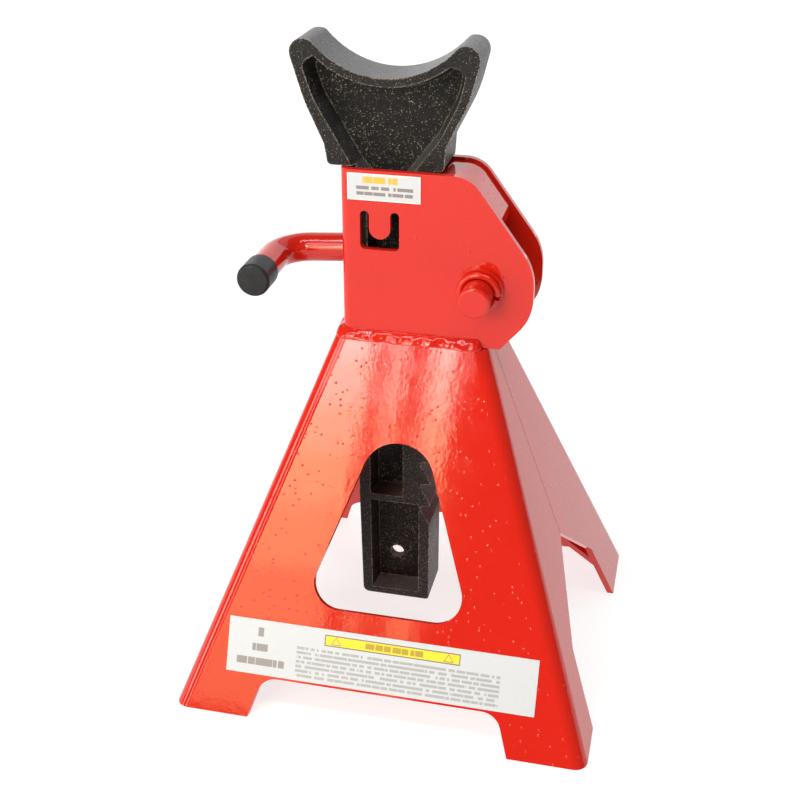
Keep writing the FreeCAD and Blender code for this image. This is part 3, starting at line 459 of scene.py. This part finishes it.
def make_weld():
    """One hand-laid bead, painted over: low ripples, lumps and an uneven toe."""
    stations = weld_path()
    total = sum((b[0] - a[0]).length for a, b in zip(stations, stations[1:]))
    vertices, faces = [], []
    travelled = 0.0
    previous = stations[0][0]
    for place, out in stations:
        travelled += (place - previous).length
        previous = place
        to_end = min(travelled, total - travelled) + WELD_PITCH
        vertices += weld_section(place, out, travelled, math.sqrt(min(1.0, to_end / WELD_END)))
    width = WELD_ACROSS + 2
    for i in range(len(stations) - 1):
        for j in range(width):
            a, b = i * width + j, i * width + (j + 1) % width
            faces.append((a, a + width, b + width, b))
    faces.append(tuple(range(width)))
    faces.append(tuple(reversed(range(len(vertices) - width, len(vertices)))))
    mesh = bpy.data.meshes.new("tower_bead")
    mesh.from_pydata(vertices, [], faces)
    mesh.validate()
    for polygon in mesh.polygons:
        polygon.use_smooth = True
    mesh.materials.append(RED)
    piece = bpy.data.objects.new("tower_bead", mesh)
    bpy.context.collection.objects.link(piece)
    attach(piece, "stand")
    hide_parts("tower_weld_front", "tower_weld_left", "tower_weld_rear")


# ---------------------------------------------------------------- studio
WHITE = (1.0, 1.0, 1.0)
CREAM = (1.0, 0.93, 0.75)
MIDDLE = (0.0, 0.0, 0.12)
# each lamp: its place, what it faces, its width and height, its radiance and its colour
LAMPS = {
    "key": ((-1.0, -1.4, 1.25), MIDDLE, (1.0, 1.0), 3.5, WHITE),
    "overhead_near": ((0.0, -0.62, 1.6), MIDDLE, (1.8, 0.07), 21.0, WHITE),
    "overhead_far": ((0.0, -0.42, 1.6), MIDDLE, (1.8, 0.05), 21.0, WHITE),
    "warm_high": ((-0.31, -1.30, 0.98), MIDDLE, (0.22, 0.25), 12.0, (1.0, 0.62, 0.24)),
    "backdrop": ((0.3, 2.2, 0.76), MIDDLE, (5.0, 1.5), 1.3, WHITE),
    "high_back": ((0.0, 1.7, 2.1), MIDDLE, (4.0, 1.2), 0.8, WHITE),
    "side_wide": ((-1.30, -0.70, 0.42), (0.0, 0.0, 0.1), (0.36, 0.70), 6.5, CREAM),
    "side_thin": ((-0.86, -1.22, 0.42), (0.0, 0.0, 0.1), (0.12, 0.75), 8.0, CREAM),
    "far_left": ((-0.67, -1.45, 0.19), (-0.67, 0.0, 0.10), (0.16, 0.22), 3.6, (1.0, 0.90, 0.55)),
}
# upright strips in front that the base plate mirrors as streaks, from orange low down to white
PANEL_Y = -1.45
PANEL_COLUMNS = {"a": (-0.58, -0.368), "b": (-0.337, -0.315), "c": (-0.272, -0.231)}
PANEL_LEVELS = (
    (0.08, 0.21, 3.0, (1.0, 0.90, 0.42)),
    (0.21, 0.31, 4.2, (1.0, 0.90, 0.42)),
    (0.31, 0.41, 6.4, (1.0, 0.90, 0.42)),
    (0.41, 0.50, 8.4, (1.0, 0.90, 0.46)),
    (0.50, 0.58, 10.2, (1.0, 0.92, 0.58)),
    (0.58, 0.66, 12.5, (1.0, 0.94, 0.74)),
    (0.66, 0.97, 15.0, (1.0, 0.95, 0.84)),
)
WORLD_STRENGTH = 0.14
FLOOR_HALF = 30.0

CAMERA_PLACE = (0.11179, -0.51092, 0.39472)
CAMERA_YAW = math.radians(13.247)
CAMERA_PITCH = math.radians(-27.367)
CAMERA_LENS = 58.27
SENSOR_WIDTH = 36.0


def make_floor():
    corners = [(x, y, 0) for x, y in ((-1, -1), (1, -1), (1, 1), (-1, 1))]
    mesh = bpy.data.meshes.new("studio_floor")
    mesh.from_pydata([Vector(corner) * FLOOR_HALF for corner in corners], [], [(0, 1, 2, 3)])
    floor = bpy.data.objects.new("studio_floor", mesh)
    bpy.context.collection.objects.link(floor)
    mesh.materials.append(studio_floor())


def softbox(name, place, target, size, radiance, colour):
    """A rectangular lamp of a given brightness. It lights and reflects, but isn't itself in view."""
    data = bpy.data.lights.new(name, "AREA")
    data.shape = "RECTANGLE"
    data.size, data.size_y = size
    data.energy = radiance * math.pi * size[0] * size[1]
    data.color = colour
    light = bpy.data.objects.new(name, data)
    light.location = place
    light.rotation_euler = (Vector(target) - Vector(place)).to_track_quat("-Z", "Y").to_euler()
    light.visible_camera = False
    bpy.context.collection.objects.link(light)


def make_studio():
    make_floor()
    world = bpy.data.worlds.new("studio")
    world.use_nodes = True
    background = world.node_tree.nodes["Background"]
    background.inputs["Color"].default_value = (*WHITE, 1.0)
    background.inputs["Strength"].default_value = WORLD_STRENGTH
    bpy.context.scene.world = world
    for name, lamp in LAMPS.items():
        softbox(name, *lamp)
    for column, (left, right) in PANEL_COLUMNS.items():
        for level, (low, high, radiance, colour) in enumerate(PANEL_LEVELS):
            x, z = (left + right) / 2, (low + high) / 2
            size = (right - left, high - low)
            softbox(f"panel_{column}{level}", (x, PANEL_Y, z), (x, 0.0, z), size, radiance, colour)
    bpy.context.scene.view_settings.view_transform = "Standard"


def make_camera():
    data = bpy.data.cameras.new("camera")
    data.sensor_width = SENSOR_WIDTH
    data.lens = CAMERA_LENS
    data.clip_start = 10 * MM
    camera = bpy.data.objects.new("camera", data)
    camera.location = CAMERA_PLACE
    level = math.cos(CAMERA_PITCH)
    ahead = Vector(
        (-math.sin(CAMERA_YAW) * level, math.cos(CAMERA_YAW) * level, math.sin(CAMERA_PITCH))
    )
    camera.rotation_euler = ahead.to_track_quat("-Z", "Y").to_euler()
    bpy.context.collection.objects.link(camera)
    bpy.context.scene.camera = camera


# ---------------------------------------------------------------- the scene
for node_name, node in NODES.items():
    dress(node_name, node)
make_weld()
make_studio()
make_camera()
